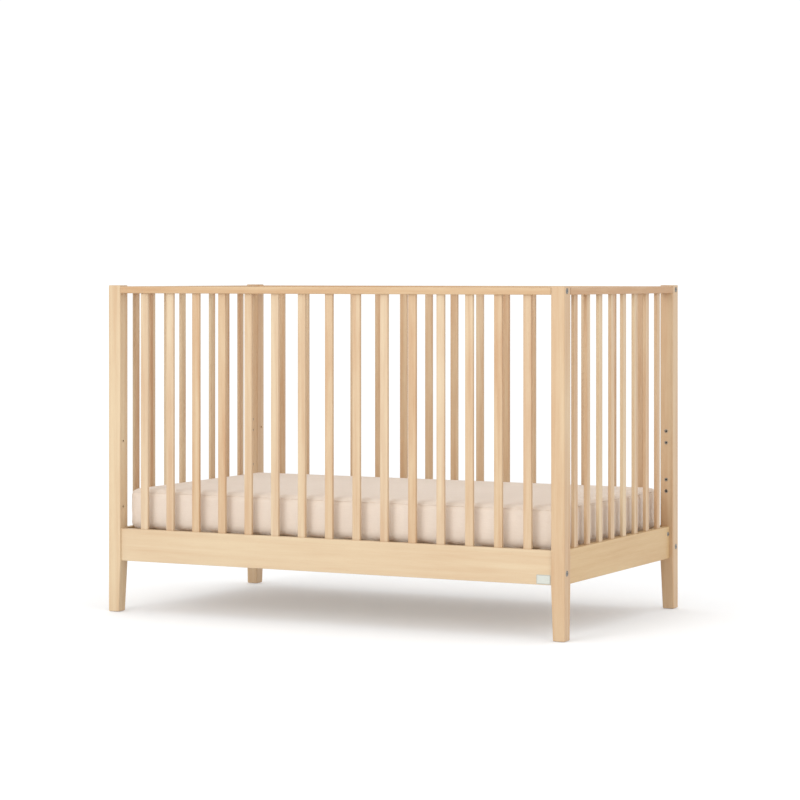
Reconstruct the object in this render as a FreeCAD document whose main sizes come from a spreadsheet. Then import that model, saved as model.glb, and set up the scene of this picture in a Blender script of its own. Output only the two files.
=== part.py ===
import FreeCAD, Part
import math
import os
import re
import Sketcher
from FreeCAD import Placement, Rotation, Vector

# A full-size baby crib of pale hardwood: four posts, slatted panels on all four sides,
# an adjustable slatted support, and a mattress in a fitted sheet.
# Millimetres. The origin is on the floor under the middle of the crib:
# +X runs to the right along the length, +Y runs to the back, +Z is up.

# ---------------------------------------------------------------- driving dimensions
DIMENSIONS = [
    ("crib_length", 1376, "outside length over the posts, along X"),
    ("crib_depth", 760, "outside depth over the posts, along Y"),
    ("crib_height", 896, "floor to the top of the posts"),
    ("post_side", 38, "side of the square post"),
    ("post_round", 3, "rounding of the post's long edges"),
    ("post_top_round", 2, "rounding around the top of the post"),
    ("foot_side", 33, "side of the foot, where the two inner faces have tapered in"),
    ("foot_chamfer", 1.5, "chamfer around the foot"),
    ("taper_height", 134, "height above the floor at which the taper starts"),
    ("top_rail_low", 874, "underside of the top rails"),
    ("top_rail_height", 19, "height of the top rails"),
    ("top_rail_depth", 36, "depth of the top rails, flush with the outer faces of the posts"),
    ("top_rail_round", 3, "rounding of the top rails' long edges"),
    ("bottom_rail_low", 141, "underside of the bottom rails"),
    ("bottom_rail_height", 88, "height of the bottom rails"),
    ("bottom_rail_depth", 20, "thickness of the bottom rails"),
    ("bottom_rail_round", 2, "rounding of the bottom rails' long edges"),
    ("long_recess", 6, "front and back bottom rails behind the posts' outer faces"),
    ("end_recess", 10, "end bottom rails behind the posts' outer faces"),
    ("slat_width", 23, "width of a slat"),
    ("slat_thickness", 9.5, "thickness of a slat"),
    ("slat_round", 2, "rounding of a slat's long edges"),
    ("tenon_width", 18, "width of the tenon on a slat's end"),
    ("tenon_thickness", 6.5, "thickness of the tenon"),
    ("tenon_length", 10, "length of the tenon"),
    ("tenon_gap", 0.1, "play all round a tenon in its mortise"),
    ("long_slats", 15, "slats in the front and in the back"),
    ("end_slats", 8, "slats in each end"),
    ("bolt_radius", 3, "shank radius of a rail bolt, M6"),
    ("bolt_length", 72, "rail bolt, from the post's outer face to the tip"),
    ("bolt_head_radius", 7.5, "radius of the rail bolt's flat head"),
    ("bolt_head_sink", 2, "depth that the head is sunk into the post"),
    ("bolt_head_proud", 0.3, "height that the head stands proud of the post"),
    ("bolt_head_ease", 0.6, "chamfer around the flat head"),
    ("bolt_tip", 1, "chamfer on the tip of a bolt or a dowel"),
    ("bolt_room", 4, "bore beyond the tip of a rail bolt"),
    ("bolt_socket_radius", 2.3, "corner radius of the 4 mm hexagon socket"),
    ("bolt_socket_depth", 1.6, "depth of the hexagon socket"),
    ("bolt_play", 0.25, "radial play of a bolt in its bore"),
    ("bolt_inset", 16, "bolt axis behind the post's front or back face"),
    ("top_bolt_z", 883.5, "height of the upper rail bolts"),
    ("bottom_bolt_z", 172, "height of the lower rail bolts"),
    ("nut_radius", 5, "radius of a barrel nut"),
    ("nut_length", 14, "length of a barrel nut"),
    ("nut_play", 0.1, "radial play of a barrel nut in its hole"),
    ("nut_inset", 28, "barrel nut axis from the end of the rail"),
    ("nut_skin", 3, "wood left between the nut and the rail's far face"),
    ("dowel_radius", 4, "radius of a glued dowel"),
    ("dowel_length", 30, "length of a dowel"),
    ("dowel_in_post", 14, "length of a dowel inside the post"),
    ("dowel_play", 0.05, "radial play of a dowel in its hole"),
    ("dowel_bottom", 0.5, "room left at the bottom of a dowel hole"),
    ("rail_dowel_z", 208, "height of the dowels in the front and back bottom rails"),
    ("end_dowel_low_z", 158, "height of the lower dowels in the end bottom rails"),
    ("end_dowel_high_z", 190, "height of the upper dowels in the end bottom rails"),
    ("top_dowel_outer", 10, "outer dowels of the end top rails, from the posts' end faces"),
    ("top_dowel_inner", 27, "inner dowels of the end top rails, from the posts' end faces"),
    ("insert_radius", 4, "outside radius of a threaded insert"),
    ("insert_bore", 2.5, "bore radius of a threaded insert"),
    ("insert_length", 12, "length of a threaded insert in the wood"),
    ("insert_rim", 5, "rim radius of a threaded insert"),
    ("insert_rim_height", 0.8, "height of the rim above the wood"),
    ("insert_inset", 20, "insert axis from the post's end face"),
    ("insert_pair", 32, "spacing of the two inserts of a pair"),
    ("insert_low_z", 208.5, "height that the pairs are counted from"),
    ("height_step", 134, "step between two heights of the support"),
    ("guard_hole_radius", 3.5, "radius of the pilot holes for a guard rail"),
    ("guard_hole_depth", 14, "depth of the pilot holes"),
    ("guard_low_z", 288.5, "height of the lower pilot hole"),
    ("guard_high_z", 468.5, "height of the upper pilot hole"),
    ("glide_radius", 11, "radius of a foot glide"),
    ("glide_height", 1.5, "height of the glide under the wood"),
    ("glide_pin_radius", 2, "radius of the glide's pin"),
    ("glide_pin_length", 14, "length of the glide's pin"),
    ("label_length", 39, "length of the blank label"),
    ("label_height", 24, "height of the blank label"),
    ("label_thickness", 0.6, "thickness of the blank label"),
    ("label_gap", 3.5, "label to the post"),
    ("label_rise", 2, "label above the rail's lower edge"),
    ("label_round", 2, "corner rounding of the label"),
    ("support_bolt_z", 209, "height of the bolts that carry the support"),
    ("support_bolt_inset", 12, "support bolt axis from the post's inner face"),
    ("support_bolt_length", 31.5, "support bolt, from the rail's outer face to the tip"),
    ("support_head_radius", 6.25, "radius of the support bolt's domed head"),
    ("support_head_height", 2.6, "height of the support bolt's domed head"),
    ("support_top", 224.7, "top of the support's slats"),
    ("support_end_face", 654.5, "outer face of the support's end rails, from the middle"),
    ("support_half_depth", 341, "half the depth of the support, along Y"),
    ("support_rail_thickness", 18, "thickness of the support's rails"),
    ("support_end_height", 36, "height of the support's end rails"),
    ("support_rail_y", 268, "middle of the support's side rails, from the middle"),
    ("support_rail_round", 2, "rounding of the support's long edges"),
    ("housing_depth", 6, "depth that a side rail is let into an end rail"),
    ("notch_depth", 10, "depth of the end rail's relief around a support bolt"),
    ("notch_width", 15, "width of that relief"),
    ("notch_rise", 6, "relief above the support bolt's axis"),
    ("deck_slats", 12, "slats in the support"),
    ("deck_slat_width", 60, "width of a support slat"),
    ("deck_slat_thickness", 12, "thickness of a support slat"),
    ("plate_thickness", 2.5, "thickness of a hook plate"),
    ("plate_width", 50, "width of a hook plate"),
    ("plate_low", 190, "lower edge of a hook plate"),
    ("plate_high", 222, "upper edge of a hook plate"),
    ("hook_play", 0.3, "play of a support bolt in the hook's slot"),
    ("plate_screw_near", 298, "first screw of a hook plate, from the middle"),
    ("plate_screw_far", 316, "second screw of a hook plate, from the middle"),
    ("plate_screw_z", 206.7, "height of the hook plate's screws"),
    ("screw_radius", 2, "shank radius of a countersunk screw"),
    ("screw_head_radius", 4, "head radius of a countersunk screw"),
    ("screw_head_height", 2, "height of the conical head"),
    ("screw_length", 18, "length of a countersunk screw"),
    ("screw_point", 3, "length of the screw's point"),
    ("screw_play", 0.1, "radial play of a screw in its hole"),
    ("mattress_length", 1302, "length of the mattress in its sheet"),
    ("mattress_width", 682, "width of the mattress in its sheet"),
    ("mattress_height", 113.5, "height of the mattress in its sheet"),
    ("mattress_corner", 23, "corner radius of the mattress, seen from above"),
    ("mattress_edge", 21, "rounding of the mattress's upper and lower edges"),
    ("mattress_gap", 0.3, "mattress above the support's slats"),
    ("sheet_thickness", 1.5, "thickness of the fitted sheet's solid"),
    ("core_gap", 0.3, "core inside the sheet"),
    ("sheet_tuck", 75, "width of the sheet's border under the mattress"),
]

doc = FreeCAD.newDocument("BabyCrib")
sheet = doc.addObject("Spreadsheet::Sheet", "Dimensions")
size = {}
for row, (alias, value, meaning) in enumerate(DIMENSIONS, start=1):
    sheet.set(f"A{row}", meaning)
    sheet.set(f"B{row}", str(value))
    sheet.setAlias(f"B{row}", alias)
    size[alias] = value
doc.recompute()

LEFT, RIGHT = -1, 1
FRONT, BACK = -1, 1
SIDE_NAMES = {LEFT: "left", RIGHT: "right"}
END_NAMES = {FRONT: "front", BACK: "back"}
CORNERS = [(side, end) for side in (LEFT, RIGHT) for end in (FRONT, BACK)]
OVERSHOOT = 1  # a drill starts this far outside the wood

# Places that several pieces share, as expressions in the sheet's names.
POST_INNER_X = "(crib_length / 2 - post_side)"
POST_INNER_Y = "(crib_depth / 2 - post_side)"
BOLT_Y = "(crib_depth / 2 - bolt_inset)"
END_RAIL_X = "(crib_length / 2 - end_recess - bottom_rail_depth / 2)"
END_DOWEL_HEIGHTS = ("end_dowel_low_z", "end_dowel_high_z")
TOP_DOWEL_INSETS = ("top_dowel_outer", "top_dowel_inner")
INSERT_HEIGHTS = [f"insert_low_z + {step} * height_step + {half} * insert_pair / 2"
                  for step in (1, 2) for half in (-1, 1)]
SUPPORT_BOLT_Y = f"({POST_INNER_Y} - support_bolt_inset)"
SUPPORT_BASE = "(support_top - support_end_height)"
DECK_UNDERSIDE = "(support_top - deck_slat_thickness)"
PLATE_SCREWS = ("plate_screw_near", "plate_screw_far")


# ---------------------------------------------------------------- document helpers
def named(expression):
    """Puts the sheet's name before each of its aliases in an expression."""
    def prefix(match):
        word = match.group(0)
        return f"Dimensions.{word}" if word in size else word
    return re.sub(r"[A-Za-z_][A-Za-z_0-9]*", prefix, str(expression))


def bind(item, prop, expression):
    item.setExpression(prop, named(expression))


def place(item, x=0, y=0, z=0, turn=None):
    """Binds an object's place to the sheet; its turn is fixed."""
    item.Placement = Placement(Vector(), turn or Rotation())
    for axis, expression in zip("xyz", (x, y, z)):
        bind(item, f".Placement.Base.{axis}", expression)


def toward(axis, sign):
    """The turn that points an object's own +Z along an axis."""
    if axis == "x":
        return Rotation(Vector(0, 1, 0), 90 * sign)
    if axis == "y":
        return Rotation(Vector(1, 0, 0), -90 * sign)
    return Rotation(Vector(1, 0, 0), 0 if sign > 0 else 180)


def new_body(name):
    return doc.addObject("PartDesign::Body", name)


def new_sketch(body, name, plane, raised=None):
    """A sketch on one of the body's own origin planes, raised along it if asked."""
    sketch = body.newObject("Sketcher::SketchObject", name)
    support = next(item for item in body.Origin.OriginFeatures if item.Role == plane)
    sketch.AttachmentSupport = [(support, "")]
    sketch.MapMode = "FlatFace"
    if raised:
        bind(sketch, ".AttachmentOffset.Base.z", raised)
    return sketch


def hold_point(sketch, geometry, vertex, x, y):
    """Holds a point by two signed distances from the sketch's origin."""
    for kind, expression in (("DistanceX", x), ("DistanceY", y)):
        index = sketch.addConstraint(Sketcher.Constraint(kind, -1, 1, geometry, vertex, 1.0))
        bind(sketch, f"Constraints[{index}]", expression)


def add_polygon(sketch, points):
    """A closed outline of straight lines through points given as expressions."""
    count = len(points)
    seeds = [Rotation(Vector(0, 0, 1), 360 * i / count).multVec(Vector(1, 0, 0))
             for i in range(count)]
    for i in range(count):
        sketch.addGeometry(Part.LineSegment(seeds[i], seeds[(i + 1) % count]), False)
    for i in range(count):
        sketch.addConstraint(Sketcher.Constraint("Coincident", i, 2, (i + 1) % count, 1))
    for i, (x, y) in enumerate(points):
        hold_point(sketch, i, 1, x, y)


def add_rounded_square(sketch, x_way, y_way, side, radius):
    """A square with rounded corners that reaches from the sketch's origin along two ways."""
    length, round_off = size[side], size[radius]
    x_low, x_high = sorted((0, x_way * length))
    y_low, y_high = sorted((0, y_way * length))
    centres = [Vector(x, y, 0) for x, y in (
        (x_high - round_off, y_low + round_off), (x_high - round_off, y_high - round_off),
        (x_low + round_off, y_high - round_off), (x_low + round_off, y_low + round_off))]
    for i, centre in enumerate(centres):
        outward = Rotation(Vector(0, 0, 1), 90 * i).multVec(Vector(0, -round_off, 0))
        start = centres[i - 1] + outward
        sketch.addGeometry(Part.LineSegment(start, centre + outward), False)
        angle = math.radians(90 * i - 90)
        circle = Part.Circle(centre, Vector(0, 0, 1), round_off)
        sketch.addGeometry(Part.ArcOfCircle(circle, angle, angle + math.pi / 2), False)
    for i in range(8):
        sketch.addConstraint(Sketcher.Constraint("Tangent", i, 2, (i + 1) % 8, 1))
    for i, direction in enumerate(("Horizontal", "Vertical", "Horizontal", "Vertical")):
        sketch.addConstraint(Sketcher.Constraint(direction, 2 * i))
    for arc in (3, 5, 7):
        sketch.addConstraint(Sketcher.Constraint("Equal", 1, arc))
    index = sketch.addConstraint(Sketcher.Constraint("Radius", 1, round_off))
    bind(sketch, f"Constraints[{index}]", radius)
    x_edges = (0, side) if x_way > 0 else (f"-{side}", 0)
    y_edges = (0, side) if y_way > 0 else (f"-{side}", 0)
    held = [("DistanceY", 0, y_edges[0], y_low), ("DistanceX", 2, x_edges[1], x_high),
            ("DistanceY", 4, y_edges[1], y_high), ("DistanceX", 6, x_edges[0], x_low)]
    for kind, line, expression, value in held:
        index = sketch.addConstraint(Sketcher.Constraint(kind, -1, 1, line, 1, float(value)))
        bind(sketch, f"Constraints[{index}]", expression)


def rectangle(left, right, low, high):
    return [(left, low), (right, low), (right, high), (left, high)]


def centred_rectangle(width, depth, x="0", y="0"):
    return rectangle(f"{x} - ({width}) / 2", f"{x} + ({width}) / 2",
                     f"{y} - ({depth}) / 2", f"{y} + ({depth}) / 2")


def add_circle(sketch, x, y, radius):
    geometry = sketch.addGeometry(Part.Circle(Vector(1, 1, 0), Vector(0, 0, 1), 1), False)
    hold_point(sketch, geometry, 3, x, y)
    index = sketch.addConstraint(Sketcher.Constraint("Radius", geometry, 1.0))
    bind(sketch, f"Constraints[{index}]", radius)


def add_pad(body, name, sketch, length, symmetric=False):
    pad = body.newObject("PartDesign::Pad", name)
    pad.Profile = sketch
    pad.Midplane = symmetric
    bind(pad, "Length", length)
    doc.recompute()
    return pad


def add_pocket(body, name, sketch, depth=None, upward=False):
    """Cuts a sketch out of the body: to a depth, or right through both ways."""
    volume_before = body.Shape.Volume
    pocket = body.newObject("PartDesign::Pocket", name)
    pocket.Profile = sketch
    if depth is None:
        pocket.Type = "ThroughAll"
        pocket.Midplane = True
    else:
        pocket.Reversed = upward
        bind(pocket, "Length", depth)
    doc.recompute()
    if body.Shape.Volume >= volume_before:
        raise RuntimeError(f"{name} cuts nothing")
    return pocket


def edges_where(shape, wanted):
    return [f"Edge{i}" for i, edge in enumerate(shape.Edges, start=1) if wanted(edge)]


def runs_along(axis, shortest):
    """A test for long edges that run nearly along one axis."""
    def wanted(edge):
        start, finish = edge.Vertexes[0].Point, edge.Vertexes[-1].Point
        run = finish - start
        return run.Length > shortest and abs(run.dot(axis)) > 0.99 * run.Length
    return wanted


def lies_at(height):
    """A test for edges that lie wholly at one height."""
    def wanted(edge):
        box = edge.BoundBox
        return abs(box.ZMin - height) < 1e-4 and abs(box.ZMax - height) < 1e-4
    return wanted


def add_dressing(body, kind, name, wanted, amount):
    """Rounds (Fillet) or bevels (Chamfer) the wanted edges of the body so far."""
    base = body.Tip
    dressing = body.newObject(f"PartDesign::{kind}", name)
    dressing.Base = (base, edges_where(base.Shape, wanted))
    bind(dressing, "Radius" if kind == "Fillet" else "Size", amount)
    doc.recompute()
    return dressing


def revolved_body(name, outline):
    """A body turned about its own Z from (radius, height) points."""
    body = new_body(name)
    sketch = new_sketch(body, f"{name}_outline", "XZ_Plane")
    add_polygon(sketch, outline)
    turned = body.newObject("PartDesign::Revolution", f"{name}_turned")
    turned.Profile = sketch
    turned.ReferenceAxis = (sketch, ["V_Axis"])
    turned.Angle = 360
    doc.recompute()
    return body


def add_socket(body, name, top):
    """A hexagon socket sunk into a bolt's head."""
    sketch = new_sketch(body, f"{name}_hexagon", "XY_Plane", top)
    corners = [(f"bolt_socket_radius * cos({60 * i})", f"bolt_socket_radius * sin({60 * i})")
               for i in range(6)]
    add_polygon(sketch, corners)
    add_pocket(body, f"{name}_socket", sketch, "bolt_socket_depth")


def cylinder(name, radius, length, x, y, z, turn):
    item = doc.addObject("Part::Cylinder", name)
    bind(item, "Radius", radius)
    bind(item, "Height", length)
    place(item, x, y, z, turn)
    return item


def cone(name, radius, head_radius, height, x, y, z, turn):
    item = doc.addObject("Part::Cone", name)
    bind(item, "Radius1", radius)
    bind(item, "Radius2", head_radius)
    bind(item, "Height", height)
    place(item, x, y, z, turn)
    return item


def block(name, lengths, centre):
    """A box given by its three lengths and the place of its centre."""
    item = doc.addObject("Part::Box", name)
    for prop, length in zip(("Length", "Width", "Height"), lengths):
        bind(item, prop, length)
    place(item, *[f"{c} - ({length}) / 2" for c, length in zip(centre, lengths)])
    return item


def gather(name, members):
    group = doc.addObject("Part::Compound", name)
    group.Links = members
    return group


def cut(label, base, tools):
    """The base with every tool taken out of it."""
    result = doc.addObject("Part::Cut", label)
    result.Base = base
    result.Tool = gather(f"{label}_tools", tools)
    return result


def copies(label, master, places):
    """One node of separate, identical solids: the master at each (x, y, z, turn)."""
    links = []
    for number, (x, y, z, turn) in enumerate(places, start=1):
        link = doc.addObject("App::Link", f"{label}_{number}")
        link.LinkedObject = master
        link.LinkTransform = False
        place(link, x, y, z, turn)
        links.append(link)
    return gather(label, links)


# ---------------------------------------------------------------- posts
def post_drills(label, side, end):
    """Everything that is bored into one post."""
    outer_x = f"{side} * (crib_length / 2 + {OVERSHOOT})"
    inner_x = f"{side} * ({POST_INNER_X} - {OVERSHOOT})"
    inner_y = f"{end} * ({POST_INNER_Y} - {OVERSHOOT})"
    bolt_y = f"{end} * {BOLT_Y}"
    inward, outward = toward("x", -side), toward("x", side)
    across = toward("y", end)
    drills = []

    for level in ("top_bolt_z", "bottom_bolt_z"):
        drills.append(cylinder(f"{label}_bolt_bore", "bolt_radius + bolt_play",
                               f"post_side + 2 * {OVERSHOOT}", outer_x, bolt_y, level, inward))
        drills.append(cylinder(f"{label}_counterbore", "bolt_head_radius + bolt_play",
                               f"bolt_head_sink + {OVERSHOOT}", outer_x, bolt_y, level, inward))

    dowel_hole = ("dowel_radius + dowel_play", f"dowel_in_post + dowel_bottom + {OVERSHOOT}")
    drills.append(cylinder(f"{label}_rail_dowel_hole", *dowel_hole,
                           inner_x, bolt_y, "rail_dowel_z", outward))
    for inset in TOP_DOWEL_INSETS:
        drills.append(cylinder(f"{label}_top_dowel_hole", *dowel_hole,
                               f"{side} * (crib_length / 2 - {inset})", inner_y, "top_bolt_z", across))
    for level in END_DOWEL_HEIGHTS:
        drills.append(cylinder(f"{label}_end_dowel_hole", *dowel_hole,
                               f"{side} * {END_RAIL_X}", inner_y, level, across))

    for level in ("guard_low_z", "guard_high_z"):
        drills.append(cylinder(f"{label}_guard_hole", "guard_hole_radius",
                               f"guard_hole_depth + {OVERSHOOT}", inner_x,
                               bolt_y, level, outward))
    for level in INSERT_HEIGHTS:
        drills.append(cylinder(f"{label}_insert_hole", "insert_radius + dowel_play",
                               f"insert_length + dowel_bottom + {OVERSHOOT}",
                               f"{side} * (crib_length / 2 - insert_inset)", inner_y, level, across))

    drills.append(cylinder(f"{label}_glide_hole", "glide_pin_radius + dowel_play",
                           f"glide_pin_length + dowel_bottom + {OVERSHOOT}",
                           f"{side} * (crib_length / 2 - foot_side / 2)",
                           f"{end} * (crib_depth / 2 - foot_side / 2)",
                           f"glide_height - {OVERSHOOT}", toward("z", 1)))
    return drills


def build_post(side, end):
    """A square post whose leg tapers on its two inner faces; its outer corner is its origin."""
    label = f"post_{END_NAMES[end]}_{SIDE_NAMES[side]}"
    blank = new_body(f"{label}_blank")
    shoulder = new_sketch(blank, f"{label}_shoulder", "XY_Plane", "taper_height - glide_height")
    add_rounded_square(shoulder, -side, -end, "post_side", "post_round")
    add_pad(blank, f"{label}_bar", shoulder, "crib_height - taper_height")
    foot = new_sketch(blank, f"{label}_foot_section", "XY_Plane")
    add_rounded_square(foot, -side, -end, "foot_side", "post_round")
    leg = blank.newObject("PartDesign::AdditiveLoft", f"{label}_leg")
    leg.Profile = foot
    leg.Sections = [shoulder]
    leg.Ruled = True
    doc.recompute()

    blank_top = size["crib_height"] - size["glide_height"]
    add_dressing(blank, "Fillet", f"{label}_top", lies_at(blank_top), "post_top_round")
    add_dressing(blank, "Chamfer", f"{label}_foot", lies_at(0), "foot_chamfer")

    place(blank, f"{side} * crib_length / 2", f"{end} * crib_depth / 2", "glide_height")
    return cut(label, blank, post_drills(label, side, end))


# ---------------------------------------------------------------- rails
# Each side of the crib: its turn about Z, which puts a rail's own -Y outwards, and its sizes.
SIDES = {
    "front": {"angle": 0, "run": "crib_length", "reach": "crib_depth / 2", "x": 0, "y": -1,
              "slats": "long_slats", "recess": "long_recess"},
    "right": {"angle": 90, "run": "crib_depth", "reach": "crib_length / 2", "x": 1, "y": 0,
              "slats": "end_slats", "recess": "end_recess"},
    "back": {"angle": 180, "run": "crib_length", "reach": "crib_depth / 2", "x": 0, "y": 1,
             "slats": "long_slats", "recess": "long_recess"},
    "left": {"angle": 270, "run": "crib_depth", "reach": "crib_length / 2", "x": -1, "y": 0,
             "slats": "end_slats", "recess": "end_recess"},
}


def slat_pitch(side):
    """Spacing of the slats of one side: equal gaps between the posts."""
    return (f"(({side['run']} - 2 * post_side - {side['slats']} * slat_width)"
            f" / ({side['slats']} + 1) + slat_width)")


def slat_plane(side):
    """Distance of the slats' middle plane, which is the bottom rail's, from the crib's middle."""
    return f"({side['reach']} - {side['recess']} - bottom_rail_depth / 2)"


def build_rail_blank(label, side, depth, height, rounding, plane, face):
    """A rail with a row of mortises in its upper or lower face; its run is along its own X."""
    blank = new_body(f"{label}_blank")
    run = f"{side['run']} - 2 * post_side"
    section = new_sketch(blank, f"{label}_section", "YZ_Plane")
    add_polygon(section, rectangle(f"-{depth} / 2", f"{depth} / 2", 0, height))
    add_pad(blank, f"{label}_bar", section, run, symmetric=True)
    along = runs_along(Vector(1, 0, 0), size["crib_depth"] / 2)
    add_dressing(blank, "Fillet", f"{label}_edges", along, rounding)

    pitch = slat_pitch(side)
    mortise = new_sketch(blank, f"{label}_mortise", "XY_Plane",
                         height if face == "upper" else None)
    add_polygon(mortise, centred_rectangle(
        "tenon_width + 2 * tenon_gap", "tenon_thickness + 2 * tenon_gap",
        f"-{pitch} * ({side['slats']} - 1) / 2", f"{plane} - {slat_plane(side)}"))
    first = add_pocket(blank, f"{label}_first_mortise", mortise, "tenon_length + dowel_bottom",
                       upward=face == "lower")
    row = blank.newObject("PartDesign::LinearPattern", f"{label}_mortises")
    row.Originals = [first]
    row.Direction = (mortise, ["H_Axis"])
    bind(row, "Length", f"{pitch} * ({side['slats']} - 1)")
    bind(row, "Occurrences", side["slats"])
    blank.Tip = row
    doc.recompute()
    return blank


def place_on_side(item, side, distance, z):
    """Puts a piece at a distance from the crib's middle, on one of its sides."""
    place(item, f"{side['x']} * {distance}", f"{side['y']} * {distance}", z,
          Rotation(Vector(0, 0, 1), side["angle"]))


def end_rail_dowel_holes(label, side_sign, x, z):
    """A hole at each end of an end rail, for the dowel that enters the post."""
    return [cylinder(f"{label}_dowel_hole", "dowel_radius + dowel_play",
                     f"dowel_length - dowel_in_post + dowel_bottom + {OVERSHOOT}",
                     f"{side_sign} * ({x})", f"{end} * ({POST_INNER_Y} + {OVERSHOOT})", z,
                     toward("y", -end))
            for end in (FRONT, BACK)]


def build_bottom_rail(name):
    side = SIDES[name]
    label = f"bottom_rail_{name}"
    plane = slat_plane(side)
    blank = build_rail_blank(label, side, "bottom_rail_depth", "bottom_rail_height",
                             "bottom_rail_round", plane, "upper")
    place_on_side(blank, side, plane, "bottom_rail_low")
    drills = []
    if side["x"] == 0:
        for end in (LEFT, RIGHT):
            start_x = f"{end} * ({POST_INNER_X} + {OVERSHOOT})"
            y = f"{side['y']} * {BOLT_Y}"
            drills.append(cylinder(f"{label}_bolt_bore", "bolt_radius + bolt_play",
                                   f"bolt_length - post_side + bolt_room + {OVERSHOOT}",
                                   start_x, y, "bottom_bolt_z", toward("x", -end)))
            drills.append(cylinder(f"{label}_dowel_hole", "dowel_radius + dowel_play",
                                   f"dowel_length - dowel_in_post + dowel_bottom + {OVERSHOOT}",
                                   start_x, y, "rail_dowel_z", toward("x", -end)))
            drills.append(cylinder(f"{label}_nut_hole", "nut_radius + nut_play",
                                   f"bottom_rail_depth - nut_skin + {OVERSHOOT}",
                                   f"{end} * ({POST_INNER_X} - nut_inset)",
                                   f"{side['y']} * ({plane} - bottom_rail_depth / 2 - {OVERSHOOT})",
                                   "bottom_bolt_z", toward("y", side["y"])))
    else:
        for level in END_DOWEL_HEIGHTS:
            drills += end_rail_dowel_holes(label, side["x"], END_RAIL_X, level)
        for end in (FRONT, BACK):
            drills.append(cylinder(f"{label}_support_bore", "bolt_radius + bolt_play",
                                   f"bottom_rail_depth + 2 * {OVERSHOOT}",
                                   f"{side['x']} * (crib_length / 2 - end_recess + {OVERSHOOT})",
                                   f"{end} * {SUPPORT_BOLT_Y}", "support_bolt_z",
                                   toward("x", -side["x"])))
    return cut(label, blank, drills)


def build_top_rail(name):
    side = SIDES[name]
    label = f"top_rail_{name}"
    plane = f"({side['reach']} - top_rail_depth / 2)"
    blank = build_rail_blank(label, side, "top_rail_depth", "top_rail_height",
                             "top_rail_round", plane, "lower")
    place_on_side(blank, side, plane, "top_rail_low")
    drills = []
    if side["x"] == 0:
        for end in (LEFT, RIGHT):
            y = f"{side['y']} * {BOLT_Y}"
            drills.append(cylinder(f"{label}_bolt_bore", "bolt_radius + bolt_play",
                                   f"bolt_length - post_side + bolt_room + {OVERSHOOT}",
                                   f"{end} * ({POST_INNER_X} + {OVERSHOOT})", y, "top_bolt_z",
                                   toward("x", -end)))
            drills.append(cylinder(f"{label}_nut_hole", "nut_radius + nut_play",
                                   f"top_bolt_z - top_rail_low + nut_length / 2 + {OVERSHOOT}",
                                   f"{end} * ({POST_INNER_X} - nut_inset)", y,
                                   f"top_rail_low - {OVERSHOOT}", toward("z", 1)))
    else:
        for inset in TOP_DOWEL_INSETS:
            drills += end_rail_dowel_holes(label, side["x"], f"crib_length / 2 - {inset}",
                                           "top_bolt_z")
    return cut(label, blank, drills)


# ---------------------------------------------------------------- slats
SLAT_LOW = "(bottom_rail_low + bottom_rail_height)"


def build_slat(label):
    """A slat with eased edges and a shouldered tenon at each end; its origin is its middle."""
    slat = new_body(label)
    section = new_sketch(slat, f"{label}_section", "XY_Plane")
    add_polygon(section, centred_rectangle("slat_width", "slat_thickness"))
    add_pad(slat, f"{label}_bar", section, f"top_rail_low - {SLAT_LOW}", symmetric=True)
    upright = runs_along(Vector(0, 0, 1), size["crib_height"] / 2)
    add_dressing(slat, "Fillet", f"{label}_edges", upright, "slat_round")
    tenon = new_sketch(slat, f"{label}_tenon", "XY_Plane")
    add_polygon(tenon, centred_rectangle("tenon_width", "tenon_thickness"))
    add_pad(slat, f"{label}_tenons", tenon, f"top_rail_low - {SLAT_LOW} + 2 * tenon_length",
            symmetric=True)
    return slat


def slat_offset(side, number):
    """Place of a slat along its side, counted from 1."""
    return f"{slat_pitch(side)} * ({number} - ({side['slats']} + 1) / 2)"


def build_long_slats(name):
    side = SIDES[name]
    slats = []
    for number in range(1, size["long_slats"] + 1):
        slat = build_slat(f"{name}_slat_{number:02d}")
        place(slat, slat_offset(side, number), f"{side['y']} * {slat_plane(side)}",
              f"(top_rail_low + {SLAT_LOW}) / 2")
        slats.append(slat)
    return slats


def build_end_slats(name, master):
    side = SIDES[name]
    quarter = Rotation(Vector(0, 0, 1), 90)
    places = [(f"{side['x']} * {slat_plane(side)}", slat_offset(side, number),
               f"(top_rail_low + {SLAT_LOW}) / 2", quarter)
              for number in range(1, size["end_slats"] + 1)]
    return copies(f"{name}_end_slats", master, places)


# ---------------------------------------------------------------- fasteners of the frame
def build_rail_bolts():
    """Flat-headed connector bolts, from the posts' end faces into the long rails."""
    master = revolved_body("rail_bolt_master", [
        (0, "bolt_head_proud"),
        ("bolt_head_radius - bolt_head_ease", "bolt_head_proud"),
        ("bolt_head_radius", "bolt_head_proud - bolt_head_ease"),
        ("bolt_head_radius", "-bolt_head_sink"),
        ("bolt_radius", "-bolt_head_sink"),
        ("bolt_radius", "-bolt_length + bolt_tip"),
        ("bolt_radius - bolt_tip", "-bolt_length"),
        (0, "-bolt_length"),
    ])
    add_socket(master, "rail_bolt", "bolt_head_proud")
    places = [(f"{side} * crib_length / 2", f"{end} * {BOLT_Y}", level, toward("x", side))
              for side, end in CORNERS for level in ("top_bolt_z", "bottom_bolt_z")]
    return copies("rail_bolts", master, places)


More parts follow.
